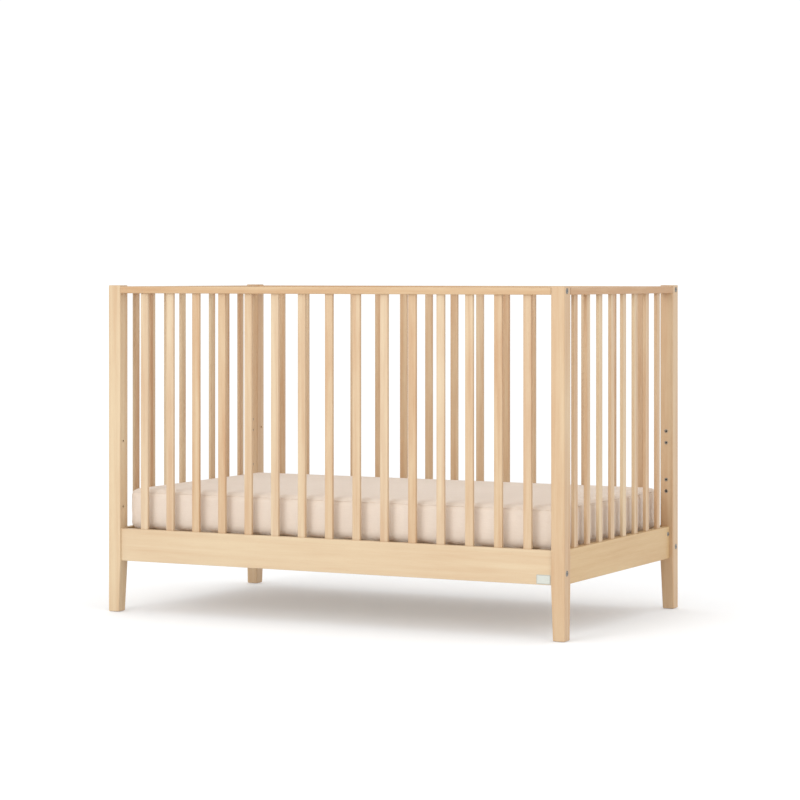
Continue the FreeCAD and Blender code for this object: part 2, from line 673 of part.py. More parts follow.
def build_barrel_nuts():
    """Cross dowels of steel: upright in the top rails, lying in the bottom rails."""
    master = new_body("barrel_nut_master")
    section = new_sketch(master, "barrel_nut_section", "XY_Plane")
    add_circle(section, 0, 0, "nut_radius")
    add_pad(master, "barrel_nut_bar", section, "nut_length", symmetric=True)
    cross = new_sketch(master, "barrel_nut_thread", "YZ_Plane")
    add_circle(cross, 0, 0, "bolt_radius + dowel_play")
    add_pocket(master, "barrel_nut_cross_hole", cross)
    places = []
    for side, end in CORNERS:
        x, y = f"{side} * ({POST_INNER_X} - nut_inset)", f"{end} * {BOLT_Y}"
        places.append((x, y, "top_bolt_z", Rotation()))
        places.append((x, y, "bottom_bolt_z", toward("y", end)))
    return copies("barrel_nuts", master, places)


def build_post_inserts():
    """Threaded inserts in pairs, two heights in each post, for the raised support."""
    master = revolved_body("post_insert_master", [
        ("insert_bore", "insert_rim_height"),
        ("insert_rim", "insert_rim_height"),
        ("insert_rim", 0),
        ("insert_radius", 0),
        ("insert_radius", "-insert_length"),
        ("insert_bore", "-insert_length"),
    ])
    places = [(f"{side} * (crib_length / 2 - insert_inset)", f"{end} * {POST_INNER_Y}", level,
               toward("y", -end))
              for side, end in CORNERS for level in INSERT_HEIGHTS]
    return copies("post_inserts", master, places)


def build_rail_dowels():
    """Beech dowels between the posts and the rails."""
    master = revolved_body("rail_dowel_master", [
        (0, "dowel_length / 2"),
        ("dowel_radius - bolt_tip", "dowel_length / 2"),
        ("dowel_radius", "dowel_length / 2 - bolt_tip"),
        ("dowel_radius", "-dowel_length / 2 + bolt_tip"),
        ("dowel_radius - bolt_tip", "-dowel_length / 2"),
        (0, "-dowel_length / 2"),
    ])
    reach = "dowel_in_post - dowel_length / 2"
    places = []
    for side, end in CORNERS:
        y = f"{end} * ({POST_INNER_Y} + {reach})"
        for inset in TOP_DOWEL_INSETS:
            places.append((f"{side} * (crib_length / 2 - {inset})", y, "top_bolt_z",
                           toward("y", end)))
        for level in END_DOWEL_HEIGHTS:
            places.append((f"{side} * {END_RAIL_X}", y, level, toward("y", end)))
        places.append((f"{side} * ({POST_INNER_X} + {reach})", f"{end} * {BOLT_Y}", "rail_dowel_z",
                       toward("x", side)))
    return copies("rail_dowels", master, places)


def build_foot_glides():
    """Nail-on glides under the four feet."""
    master = revolved_body("foot_glide_master", [
        (0, 0),
        ("glide_radius - glide_height / 2", 0),
        ("glide_radius", "glide_height / 2"),
        ("glide_radius", "glide_height"),
        ("glide_pin_radius", "glide_height"),
        ("glide_pin_radius", "glide_height + glide_pin_length"),
        (0, "glide_height + glide_pin_length"),
    ])
    places = [(f"{side} * (crib_length / 2 - foot_side / 2)",
               f"{end} * (crib_depth / 2 - foot_side / 2)", 0, Rotation())
              for side, end in CORNERS]
    return copies("foot_glides", master, places)


def build_rail_label():
    """A blank label stuck on the front rail, beside the right post."""
    label = new_body("rail_label")
    section = new_sketch(label, "rail_label_section", "XZ_Plane")
    add_polygon(section, rectangle(0, "label_length", 0, "label_height"))
    add_pad(label, "rail_label_plate", section, "label_thickness")
    corners = runs_along(Vector(0, 1, 0), size["label_thickness"] / 2)
    add_dressing(label, "Fillet", "rail_label_corners", corners, "label_round")
    place(label, f"{POST_INNER_X} - label_gap - label_length",
          "-(crib_depth / 2 - long_recess)", "bottom_rail_low + label_rise")
    return label


def build_support_bolts():
    """Dome-headed bolts through the end rails, whose shanks carry the support's hooks."""
    dome = [(f"support_head_radius * sin({angle})", f"support_head_height * cos({angle})")
            for angle in (20, 40, 60, 75)]
    master = revolved_body("support_bolt_master", [
        (0, "support_head_height"),
        *dome,
        ("support_head_radius", 0),
        ("bolt_radius", 0),
        ("bolt_radius", "-support_bolt_length + bolt_tip"),
        ("bolt_radius - bolt_tip", "-support_bolt_length"),
        (0, "-support_bolt_length"),
    ])
    add_socket(master, "support_bolt", "support_head_height")
    places = [(f"{side} * (crib_length / 2 - end_recess)", f"{end} * {SUPPORT_BOLT_Y}",
               "support_bolt_z", toward("x", side))
              for side, end in CORNERS]
    return copies("support_bolts", master, places)


# ---------------------------------------------------------------- mattress support
def countersunk_hole(name, x, y, z, turn):
    """A screw hole entered along a turned -Z, with its mouth at the given place."""
    flip = turn.multiply(Rotation(Vector(1, 0, 0), 180))
    into = turn.multVec(Vector(0, 0, -1))
    drop = "(screw_head_height + screw_play)"
    seat = [f"{c} + ({round(way)}) * {drop}" for c, way in zip((x, y, z), into)]
    shank = "screw_radius + screw_play"
    return [
        cylinder(f"{name}_shank", shank, "screw_length + dowel_bottom", x, y, z, flip),
        cone(f"{name}_seat", shank, "screw_head_radius + screw_play", drop, *seat, turn),
    ]


def build_support_rails():
    """The two side rails that the slats are screwed to, let into the end rails."""
    rails = []
    length = "2 * (support_end_face - support_rail_thickness + housing_depth)"
    height = "support_end_height - deck_slat_thickness"
    for end in (FRONT, BACK):
        label = f"support_rail_{END_NAMES[end]}"
        bar = block(f"{label}_bar", (length, "support_rail_thickness", height),
                    (0, f"{end} * support_rail_y", f"({SUPPORT_BASE} + {DECK_UNDERSIDE}) / 2"))
        pilots = [cylinder(f"{label}_pilot", "screw_radius + dowel_play", "screw_length", x,
                           f"{end} * support_rail_y", DECK_UNDERSIDE, toward("z", -1))
                  for x in deck_slat_places()]
        rails.append(cut(label, bar, pilots))
    return rails


def deck_slat_places():
    """The slats' places along X: equal gaps between the support's end rails."""
    inner = "(support_end_face - support_rail_thickness)"
    pitch = f"((2 * {inner} - deck_slats * deck_slat_width) / (deck_slats + 1) + deck_slat_width)"
    return [f"{pitch} * ({number} - (deck_slats + 1) / 2)"
            for number in range(1, size["deck_slats"] + 1)]


def build_support_slats():
    """The row of flat slats that the mattress lies on."""
    board = new_body("support_slat_board")
    section = new_sketch(board, "support_slat_section", "XY_Plane")
    add_polygon(section, centred_rectangle("deck_slat_width", "2 * support_half_depth"))
    add_pad(board, "support_slat_pad", section, "deck_slat_thickness")
    along = runs_along(Vector(0, 1, 0), size["support_half_depth"])
    add_dressing(board, "Fillet", "support_slat_edges", along, "support_rail_round")
    holes = []
    for end in (FRONT, BACK):
        holes += countersunk_hole("support_slat_hole", 0, f"{end} * support_rail_y",
                                  "deck_slat_thickness", Rotation())
    master = cut("support_slat_master", board, holes)
    places = [(x, 0, DECK_UNDERSIDE, Rotation()) for x in deck_slat_places()]
    return copies("support_slats", master, places)


def build_support_end(side):
    """An end rail of the support, relieved around the two support bolts."""
    label = f"support_end_{SIDE_NAMES[side]}"
    middle_x = f"{side} * (support_end_face - support_rail_thickness / 2)"
    middle_z = f"({SUPPORT_BASE} + support_top) / 2"
    lengths = ("support_rail_thickness", "2 * support_half_depth", "support_end_height")
    bar = block(f"{label}_bar", lengths, (middle_x, 0, middle_z))
    tools = []
    for end in (FRONT, BACK):
        tools.append(block(f"{label}_notch",
                           (f"notch_depth + {OVERSHOOT}", f"notch_width + {OVERSHOOT}",
                            f"support_bolt_z + notch_rise - {SUPPORT_BASE} + {OVERSHOOT}"),
                           (f"{side} * (support_end_face - notch_depth / 2 + {OVERSHOOT} / 2)",
                            f"{end} * (support_half_depth - notch_width / 2 + {OVERSHOOT} / 2)",
                            f"(support_bolt_z + notch_rise + {SUPPORT_BASE} - {OVERSHOOT}) / 2")))
        tools.append(block(f"{label}_housing",
                           (f"housing_depth + {OVERSHOOT} + dowel_play",
                            "support_rail_thickness + 2 * dowel_play",
                            f"support_end_height - deck_slat_thickness + dowel_play + {OVERSHOOT}"),
                           (f"{side} * (support_end_face - support_rail_thickness"
                            f" + housing_depth / 2 - {OVERSHOOT} / 2 + dowel_play / 2)",
                            f"{end} * support_rail_y",
                            f"({SUPPORT_BASE} + {DECK_UNDERSIDE} + dowel_play - {OVERSHOOT}) / 2")))
        for y in PLATE_SCREWS:
            tools.append(cylinder(f"{label}_pilot", "screw_radius + dowel_play",
                                  f"screw_length + {OVERSHOOT}",
                                  f"{side} * (support_end_face + plate_thickness + {OVERSHOOT})",
                                  f"{end} * {y}", "plate_screw_z", toward("x", -side)))
    return cut(label, bar, tools)


def build_hook_plates():
    """Steel plates on the support's ends; each has a slot that drops over a support bolt."""
    plates = []
    for side, end in CORNERS:
        name = f"hook_plate_{END_NAMES[end]}_{SIDE_NAMES[side]}"
        x = f"{side} * (support_end_face + plate_thickness / 2)"
        plate = block(f"{name}_flat", ("plate_thickness", "plate_width", "plate_high - plate_low"),
                      (x, f"{end} * (support_half_depth - plate_width / 2)",
                       "(plate_high + plate_low) / 2"))
        slot_radius = "(bolt_radius + hook_play)"
        tools = [
            block(f"{name}_slot", (f"plate_thickness + 2 * {OVERSHOOT}", f"2 * {slot_radius}",
                                   f"support_bolt_z - plate_low + {OVERSHOOT}"),
                  (x, f"{end} * {SUPPORT_BOLT_Y}", f"(support_bolt_z + plate_low - {OVERSHOOT}) / 2")),
            cylinder(f"{name}_slot_end", slot_radius, f"plate_thickness + 2 * {OVERSHOOT}",
                     f"{side} * (support_end_face - {OVERSHOOT})", f"{end} * {SUPPORT_BOLT_Y}",
                     "support_bolt_z", toward("x", side)),
        ]
        for y in PLATE_SCREWS:
            tools += countersunk_hole(f"{name}_hole", f"{side} * (support_end_face + plate_thickness)",
                                      f"{end} * {y}", "plate_screw_z", toward("x", side))
        plates.append(cut(name, plate, tools))
    return gather("hook_plates", plates)


def build_support_screws():
    """Countersunk screws: two through each slat and two through each hook plate."""
    master = revolved_body("support_screw_master", [
        (0, 0),
        ("screw_head_radius", 0),
        ("screw_radius", "-screw_head_height"),
        ("screw_radius", "-screw_length + screw_point"),
        (0, "-screw_length"),
    ])
    places = [(x, f"{end} * support_rail_y", "support_top", Rotation())
              for x in deck_slat_places() for end in (FRONT, BACK)]
    for side, end in CORNERS:
        for y in PLATE_SCREWS:
            places.append((f"{side} * (support_end_face + plate_thickness)", f"{end} * {y}",
                           "plate_screw_z", toward("x", side)))
    return copies("support_screws", master, places)


# ---------------------------------------------------------------- mattress
def pillow_form(name, inset):
    """A block with rounded corners and edges, the given distance inside the sheet's outside."""
    body = new_body(name)
    section = new_sketch(body, f"{name}_section", "XY_Plane", inset)
    add_polygon(section, centred_rectangle(f"mattress_length - 2 * {inset}",
                                           f"mattress_width - 2 * {inset}"))
    add_pad(body, f"{name}_pad", section, f"mattress_height - 2 * {inset}")
    upright = runs_along(Vector(0, 0, 1), size["mattress_height"] / 2)
    add_dressing(body, "Fillet", f"{name}_corners", upright, f"mattress_corner - {inset}")
    level = [face.CenterOfMass.z for face in body.Shape.Faces]
    ends = [lies_at(min(level)), lies_at(max(level))]
    add_dressing(body, "Fillet", f"{name}_rims", lambda edge: any(test(edge) for test in ends),
                 f"mattress_edge - {inset}")
    place(body, 0, 0, "support_top + mattress_gap")
    return body


def build_mattress():
    """The core, and the fitted sheet around it, open underneath inside its tucked border."""
    core = pillow_form("mattress_core", "(sheet_thickness + core_gap)")
    outside = pillow_form("fitted_sheet_outside", "0")
    inside = pillow_form("fitted_sheet_inside", "sheet_thickness")
    opening = block("fitted_sheet_opening",
                    ("mattress_length - 2 * sheet_tuck", "mattress_width - 2 * sheet_tuck",
                     "mattress_height / 2"),
                    (0, 0, "support_top + mattress_gap"))
    return [core, cut("fitted_sheet", outside, [inside, opening])]


# ---------------------------------------------------------------- the whole crib
slat_master = build_slat("end_slat_master")
pieces = [build_post(side, end) for side, end in CORNERS]
pieces += [build_top_rail(name) for name in SIDES]
pieces += [build_bottom_rail(name) for name in SIDES]
pieces += build_long_slats("front") + build_long_slats("back")
pieces += [build_end_slats("left", slat_master), build_end_slats("right", slat_master)]
pieces += [build_rail_bolts(), build_barrel_nuts(), build_post_inserts(), build_rail_dowels()]
pieces += [build_foot_glides(), build_rail_label(), build_support_bolts()]
pieces += build_support_rails() + [build_support_end(LEFT), build_support_end(RIGHT)]
pieces += [build_support_slats(), build_hook_plates(), build_support_screws()]
pieces += build_mattress()

doc.recompute()
for item in doc.Objects:
    if {"Invalid", "Error"} & set(item.State):
        raise RuntimeError(f"{item.Label} failed: {item.State}")

os.makedirs("parts", exist_ok=True)
for piece in pieces:
    shape = piece.Shape
    if shape.isNull() or not shape.isValid() or not shape.Solids:
        raise RuntimeError(f"{piece.Label} has no valid solid")
    shape.exportStep(f"parts/{piece.Label}.step")
print(len(pieces), "nodes written")
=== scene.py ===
import math
import random

import bmesh
import bpy
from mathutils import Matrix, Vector


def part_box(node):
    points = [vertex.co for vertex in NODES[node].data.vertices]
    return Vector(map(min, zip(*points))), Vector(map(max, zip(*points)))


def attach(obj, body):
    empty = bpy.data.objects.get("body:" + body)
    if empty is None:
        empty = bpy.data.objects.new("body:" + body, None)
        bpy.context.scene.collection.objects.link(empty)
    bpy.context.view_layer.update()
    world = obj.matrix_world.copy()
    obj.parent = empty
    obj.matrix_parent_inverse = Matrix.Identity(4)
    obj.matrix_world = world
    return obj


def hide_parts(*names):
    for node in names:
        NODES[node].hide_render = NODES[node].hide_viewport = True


# A baby crib of pale wood: CAD nodes keep their shapes and get procedural materials,
# and the mattress and its fitted sheet are modelled here as soft goods.

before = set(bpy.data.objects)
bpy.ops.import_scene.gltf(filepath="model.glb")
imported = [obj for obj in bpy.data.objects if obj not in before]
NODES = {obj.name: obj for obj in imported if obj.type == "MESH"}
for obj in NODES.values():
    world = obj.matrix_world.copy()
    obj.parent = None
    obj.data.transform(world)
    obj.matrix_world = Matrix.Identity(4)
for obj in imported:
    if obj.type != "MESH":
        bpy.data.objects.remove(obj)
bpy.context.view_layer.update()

MATTRESS_BODY = "mattress"
RANDOM = random.Random(7)


# ---------------------------------------------------------------- colour and node helpers
def linear(red, green, blue):
    """An sRGB colour of 0 to 255 as the linear colour that shaders take."""
    def channel(value):
        value /= 255
        return value / 12.92 if value <= 0.04045 else ((value + 0.055) / 1.055) ** 2.4
    return (channel(red), channel(green), channel(blue), 1.0)


def new_material(name, roughness=0.5, **sockets):
    """A Principled material; returns it with its node tree and shader."""
    material = bpy.data.materials.new(name)
    material.use_nodes = True
    tree = material.node_tree
    shader = tree.nodes["Principled BSDF"]
    shader.inputs["Roughness"].default_value = roughness
    for socket, value in sockets.items():
        shader.inputs[socket.replace("_", " ")].default_value = value
    return material, tree, shader


class Graph:
    """Short ways to add nodes to one tree."""

    def __init__(self, tree):
        self.tree = tree

    def node(self, kind, **settings):
        node = self.tree.nodes.new(kind)
        for name, value in settings.items():
            setattr(node, name, value)
        return node

    def put(self, socket, value):
        if isinstance(value, bpy.types.NodeSocket):
            self.tree.links.new(value, socket)
        else:
            socket.default_value = value

    def position(self):
        """The point in the row frame: every CAD node's object sits at the origin."""
        return self.node("ShaderNodeTexCoord").outputs["Object"]

    def math(self, operation, a, b=0.0, clamp=False):
        node = self.node("ShaderNodeMath", operation=operation, use_clamp=clamp)
        self.put(node.inputs[0], a)
        self.put(node.inputs[1], b)
        return node.outputs[0]

    def split(self, vector):
        node = self.node("ShaderNodeSeparateXYZ")
        self.put(node.inputs[0], vector)
        return list(node.outputs)

    def join(self, x, y, z):
        node = self.node("ShaderNodeCombineXYZ")
        for socket, value in zip(node.inputs, (x, y, z)):
            self.put(socket, value)
        return node.outputs[0]

    def noise(self, vector, scale=1.0, detail=2.0, roughness=0.5, distortion=0.0):
        node = self.node("ShaderNodeTexNoise")
        self.put(node.inputs["Vector"], vector)
        self.put(node.inputs["Scale"], scale)
        self.put(node.inputs["Detail"], detail)
        self.put(node.inputs["Roughness"], roughness)
        self.put(node.inputs["Distortion"], distortion)
        return node.outputs["Fac"]

    def remap(self, value, from_low, from_high, to_low=0.0, to_high=1.0):
        node = self.node("ShaderNodeMapRange")
        for index, number in enumerate((from_low, from_high, to_low, to_high), start=1):
            node.inputs[index].default_value = number
        self.put(node.inputs[0], value)
        return node.outputs[0]

    def mix(self, factor, a, b):
        node = self.node("ShaderNodeMix", data_type="RGBA")
        self.put(node.inputs["Factor"], factor)
        self.put(node.inputs[6], a)
        self.put(node.inputs[7], b)
        return node.outputs[2]

    def bump(self, height, distance, strength=1.0, normal=None):
        node = self.node("ShaderNodeBump")
        node.inputs["Distance"].default_value = distance
        node.inputs["Strength"].default_value = strength
        self.put(node.inputs["Height"], height)
        if normal is not None:
            self.put(node.inputs["Normal"], normal)
        return node.outputs[0]


def dress(node_name, material):
    """Gives a CAD node its material, and leaves its mesh alone."""
    node = NODES[node_name]
    if not node.material_slots:
        node.data.materials.append(material)
    for material_slot in node.material_slots:
        material_slot.material = material


# ---------------------------------------------------------------- wood
GRAIN_AXIS = {"x": 0, "y": 1, "z": 2}
WOOD_PALE = (209, 187, 154)
WOOD_DEEP = (184, 144, 106)
WOOD_END = (163, 127, 91)
BOARD_SHIFT = 40.5          # added to the board count along an axis, so that it is never negative


def wood(name, axis, tone=0.5, warmth=0.0, board_axis=None, board_pitch=1.0, streak=1.0):
    """Pale close-grained wood with its grain along one axis.

    tone runs from 0, dark, to 1, pale, and streak is the grain's strength.
    With board_axis, the tone and the grain change once in every board_pitch along that axis.
    Where the number of slats is even, that change falls down the middle of each slat.
    """
    material, tree, shader = new_material(name, 0.44, Coat_Weight=0.12, Coat_Roughness=0.34,
                                          Specular_IOR_Level=0.42)
    g = Graph(tree)
    axes = g.split(g.position())
    run = axes[GRAIN_AXIS[axis]]
    across = [axes[i] for i in range(3) if i != GRAIN_AXIS[axis]]
    shift = [RANDOM.uniform(-9, 9) for _ in range(3)]
    board = None
    if board_axis:
        boards_along = g.math("DIVIDE", axes[GRAIN_AXIS[board_axis]], board_pitch)
        cell = g.math("FLOOR", g.math("ADD", boards_along, BOARD_SHIFT))
        board = g.node("ShaderNodeTexWhiteNoise", noise_dimensions="1D")
        g.put(board.inputs["W"], cell)
        board = board.outputs["Value"]
        run = g.math("ADD", run, g.math("MULTIPLY", board, 7.0))

    def shifted(vector, index):
        node = g.node("ShaderNodeVectorMath", operation="ADD")
        g.put(node.inputs[0], vector)
        node.inputs[1].default_value = [s * (index + 1) for s in shift]
        return node.outputs[0]

    def grain(along, sideways, index, **settings):
        sides = [g.math("MULTIPLY", way, sideways) for way in across]
        vector = g.join(g.math("MULTIPLY", run, along), *sides)
        return g.noise(shifted(vector, index), **settings)

    blotch = grain(3.2, 14.0, 0, detail=3.0, roughness=0.55)
    figure = grain(1.7, 46.0, 1, detail=4.0, roughness=0.6, distortion=0.5)
    fibre = grain(14.0, 620.0, 2, detail=3.0, roughness=0.65)
    # growth rings: bands across the grain, bent by a slow noise
    wander = g.math("MULTIPLY", grain(1.1, 9.0, 3, detail=2.0), 9.0)
    rings = g.math("ADD", g.math("MULTIPLY", g.math("ADD", *across), 150.0), wander)
    ring = g.math("SINE", g.math("MULTIPLY", rings, 1.9))
    fleck = g.remap(grain(90.0, 760.0, 4, detail=1.0), 0.62, 0.72)

    depth = g.remap(blotch, 0.3, 0.7, -0.20, 0.20)
    depth = g.math("ADD", depth, g.remap(figure, 0.3, 0.7, -0.26, 0.26))
    depth = g.math("ADD", depth, g.remap(fibre, 0.25, 0.75, -0.16, 0.16))
    depth = g.math("ADD", depth, g.math("MULTIPLY", ring, 0.07))
    depth = g.math("ADD", depth, g.math("MULTIPLY", fleck, 0.16))
    depth = g.math("MULTIPLY", depth, streak)
    if board is not None:
        depth = g.math("ADD", depth, g.remap(board, 0.0, 1.0, -0.28, 0.28))
    depth = g.math("ADD", depth, 1.0 - tone, clamp=True)
    pale = linear(WOOD_PALE[0] + 2 * warmth, WOOD_PALE[1], WOOD_PALE[2] - 9 * warmth)
    deep = linear(WOOD_DEEP[0], WOOD_DEEP[1], WOOD_DEEP[2] - 6 * warmth)
    colour = g.mix(depth, pale, deep)

    # cut ends are a little darker, with pores in place of fibres
    normal = g.split(g.node("ShaderNodeTexCoord").outputs["Normal"])[GRAIN_AXIS[axis]]
    end_face = g.remap(g.math("ABSOLUTE", normal), 0.80, 0.97)
    colour = g.mix(g.math("MULTIPLY", end_face, 0.55), colour, linear(*WOOD_END))
    g.put(shader.inputs["Base Color"], colour)

    rough = g.remap(fibre, 0.2, 0.8, 0.38, 0.52)
    g.put(shader.inputs["Roughness"], g.math("ADD", rough, g.math("MULTIPLY", end_face, 0.15)))
    height = g.math("ADD", g.math("MULTIPLY", fibre, 0.7), g.math("MULTIPLY", fleck, -0.5))
    g.put(shader.inputs["Normal"], g.bump(height, 0.00012, 0.6))
    return material


# ---------------------------------------------------------------- metal, plastic and label
def steel(name, shade=(152, 148, 142), roughness=0.34):
    """Zinc-plated steel: fine turned scratches and a cloudy film."""
    material, tree, shader = new_material(name, roughness, Metallic=1.0)
    g = Graph(tree)
    position = g.position()
    cloud = g.noise(position, 160.0, 3.0)
    scratch = g.noise(position, 1800.0, 2.0, 0.7)
    dull = linear(*[value * 0.72 for value in shade])
    g.put(shader.inputs["Base Color"], g.mix(g.remap(cloud, 0.35, 0.7), linear(*shade), dull))
    g.put(shader.inputs["Roughness"], g.remap(cloud, 0.3, 0.7, roughness - 0.06, roughness + 0.14))
    g.put(shader.inputs["Normal"], g.bump(scratch, 0.00005, 0.5))
    return material


def plastic(name, shade, roughness=0.5):
    """Moulded plastic with a fine grained skin."""
    material, tree, shader = new_material(name, roughness)
    g = Graph(tree)
    position = g.position()
    skin = g.noise(position, 1400.0, 2.0)
    scuff = g.noise(position, 60.0, 4.0, 0.7)
    worn = linear(*[value * 0.86 for value in shade])
    g.put(shader.inputs["Base Color"], g.mix(g.remap(scuff, 0.5, 0.75), linear(*shade), worn))
    g.put(shader.inputs["Roughness"], g.remap(scuff, 0.3, 0.7, roughness - 0.08, roughness + 0.12))
    g.put(shader.inputs["Normal"], g.bump(skin, 0.00006, 0.5))
    return material


LABEL_BORDER = 0.0022


def label_plate(name, node_name):
    """A blank metallised label: a pale field inside a darker printed border."""
    low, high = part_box(node_name)
    material, tree, shader = new_material(name, 0.42, Metallic=0.1)
    g = Graph(tree)
    x, _, z = g.split(g.position())

    def inside(value, lowest, highest):
        middle, half = (lowest + highest) / 2, (highest - lowest) / 2 - LABEL_BORDER
        return g.math("LESS_THAN", g.math("ABSOLUTE", g.math("SUBTRACT", value, middle)), half)

    field = g.math("MULTIPLY", inside(x, low[0], high[0]), inside(z, low[2], high[2]))
    strokes = g.join(g.math("MULTIPLY", x, 60.0), 0.0, g.math("MULTIPLY", z, 2600.0))
    brushed = g.noise(strokes, 1.0, 2.0)
    face = g.mix(g.remap(brushed, 0.3, 0.7), linear(206, 208, 200), linear(188, 191, 182))
    g.put(shader.inputs["Base Color"], g.mix(field, linear(176, 176, 166), face))
    g.put(shader.inputs["Roughness"], g.remap(brushed, 0.3, 0.7, 0.30, 0.46))
    g.put(shader.inputs["Normal"], g.bump(brushed, 0.00004, 0.5))
    return material


# ---------------------------------------------------------------- fabric
def cotton(name, pale, deep, thread=0.00085, fuzz=0.18, quilt=None):
    """Plain-woven cotton: threads both ways, slubs and slow drift. quilt is a diamond's size."""
    material, tree, shader = new_material(name, 0.86, Sheen_Weight=fuzz, Sheen_Roughness=0.5,
                                          Specular_IOR_Level=0.22)
    g = Graph(tree)
    position = g.position()
    x, y, z = g.split(position)
    waves = [g.math("SINE", g.math("MULTIPLY", axis, 2 * math.pi / thread)) for axis in (x, y, z)]
    weave = g.math("ADD", g.math("MULTIPLY", waves[0], waves[1]),
                   g.math("MULTIPLY", waves[2], g.math("ADD", waves[0], waves[1])))
    slub = g.noise(g.join(g.math("MULTIPLY", x, 40.0), g.math("MULTIPLY", y, 900.0),
                          g.math("MULTIPLY", z, 900.0)), 1.0, 3.0, 0.6)
    nap = g.noise(position, 420.0, 3.0, 0.7)
    drift = g.noise(position, 5.0, 3.0)
    depth = g.math("ADD", g.remap(slub, 0.3, 0.7, 0.0, 0.34), g.remap(drift, 0.3, 0.7, 0.0, 0.30))
    depth = g.math("ADD", depth, g.remap(nap, 0.3, 0.7, 0.0, 0.22))
    depth = g.math("ADD", depth, g.math("MULTIPLY", weave, -0.06), clamp=True)
    g.put(shader.inputs["Base Color"], g.mix(depth, linear(*pale), linear(*deep)))
    g.put(shader.inputs["Roughness"], g.remap(nap, 0.3, 0.7, 0.80, 0.92))
    fine = g.bump(g.math("ADD", weave, g.math("MULTIPLY", slub, 2.0)), 0.00008, 0.5)
    nubby = g.bump(nap, 0.0002, 0.35, fine)
    if quilt:
        lines = []
        for way in ("ADD", "SUBTRACT"):
            turn = g.math("MULTIPLY", g.math(way, x, y), math.pi / quilt)
            lines.append(g.math("ABSOLUTE", g.math("SINE", turn)))
        puff = g.math("POWER", g.math("MULTIPLY", *lines), 0.5)
        nubby = g.bump(puff, 0.004, 0.8, nubby)
    g.put(shader.inputs["Normal"], nubby)
    return material


# ---------------------------------------------------------------- dressing the CAD nodes
FRONT_TONES = (0.74, 0.72, 0.42, 0.44, 0.58, 0.74, 0.60, 0.52,
               0.56, 0.72, 0.40, 0.74, 0.58, 0.42, 0.60)
BACK_TONES = (0.50, 0.62, 0.46, 0.66, 0.54, 0.42, 0.60, 0.52,
              0.68, 0.48, 0.56, 0.44, 0.64, 0.50, 0.58)
# The back posts' deeper tones are painted shade, standing in for the shade beneath and behind the
# crib.
POST_TONES_AND_BACK_SHADE = {"front_left": 0.78, "front_right": 0.48, "back_left": 0.46, "back_right": 0.44}
# side, grain axis, tone and warmth of the bottom rail
RAILS = (("front", "x", 0.80, 0.0), ("back", "x", 0.60, 0.2),
         ("left", "y", 0.52, 1.4), ("right", "y", 0.52, 1.4))
TOP_RAIL_DARKER = 0.42      # how much darker a top rail is than the bottom rail of its side
END_SLATS, END_SLAT_WIDTH = 8, 0.023
DECK_SLATS, DECK_SLAT_WIDTH = 12, 0.060


def pitch(low, high, count, width):
    """The spacing of equal slats whose row runs from low to high."""
    return (high - low - width) / (count - 1)


def dress_frame():
    for number, tone in enumerate(FRONT_TONES, start=1):
        name = f"front_slat_{number:02d}"
        dress(name, wood(f"wood_{name}", "z", tone, 0.5 - tone))
    for number, tone in enumerate(BACK_TONES, start=1):
        name = f"back_slat_{number:02d}"
        # The 0.06 taken from each back slat's tone is painted shade, for the shaded inside of the
        # crib.
        dress(name, wood(f"wood_{name}", "z", tone - 0.06, 0.5 - tone))
    for side in ("left", "right"):
        name = f"{side}_end_slats"
        low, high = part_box(name)
        spacing = pitch(low[1], high[1], END_SLATS, END_SLAT_WIDTH)
        dress(name, wood(f"wood_{name}", "z", 0.56, 0.0, "y", spacing))
    for place, tone in POST_TONES_AND_BACK_SHADE.items():
        dress(f"post_{place}", wood(f"wood_post_{place}", "z", tone, 0.1, streak=0.7))
    for side, axis, tone, warmth in RAILS:
        top, bottom = f"top_rail_{side}", f"bottom_rail_{side}"
        dress(top, wood(f"wood_{top}", axis, tone - TOP_RAIL_DARKER, 0.4, streak=0.8))
        dress(bottom, wood(f"wood_{bottom}", axis, tone, warmth, streak=0.55))
    dress("rail_dowels", wood("wood_dowels", "x", 0.5))
    bolt_steel = steel("bolt_steel")
    for name in ("rail_bolts", "support_bolts", "barrel_nuts"):
        dress(name, bolt_steel)
    dress("post_inserts", steel("insert_steel", (168, 160, 148), 0.42))
    dress("foot_glides", plastic("glide_plastic", (226, 224, 217)))
    dress("rail_label", label_plate("label_face", "rail_label"))


def dress_support():
    for name, axis in (("support_rail_front", "x"), ("support_rail_back", "x"),
                       ("support_end_left", "y"), ("support_end_right", "y")):
        dress(name, wood(f"wood_{name}", axis, 0.42, 0.3))
    low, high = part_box("support_slats")
    spacing = pitch(low[0], high[0], DECK_SLATS, DECK_SLAT_WIDTH)
    dress("support_slats", wood("wood_support_slats", "y", 0.46, 0.3, "x", spacing))
    dress("hook_plates", steel("plate_steel", (150, 150, 152), 0.40))
    dress("support_screws", steel("screw_steel", (186, 176, 150), 0.36))


# ---------------------------------------------------------------- mattress and sheet
def smooth_object(name, mesh):
    """Turns a finished bmesh into a smooth-shaded object in the scene."""
    bmesh.ops.recalc_face_normals(mesh, faces=mesh.faces)
    data = bpy.data.meshes.new(name)
    mesh.to_mesh(data)
    mesh.free()
    for polygon in data.polygons:
        polygon.use_smooth = True
    item = bpy.data.objects.new(name, data)
    bpy.context.scene.collection.objects.link(item)
    return item


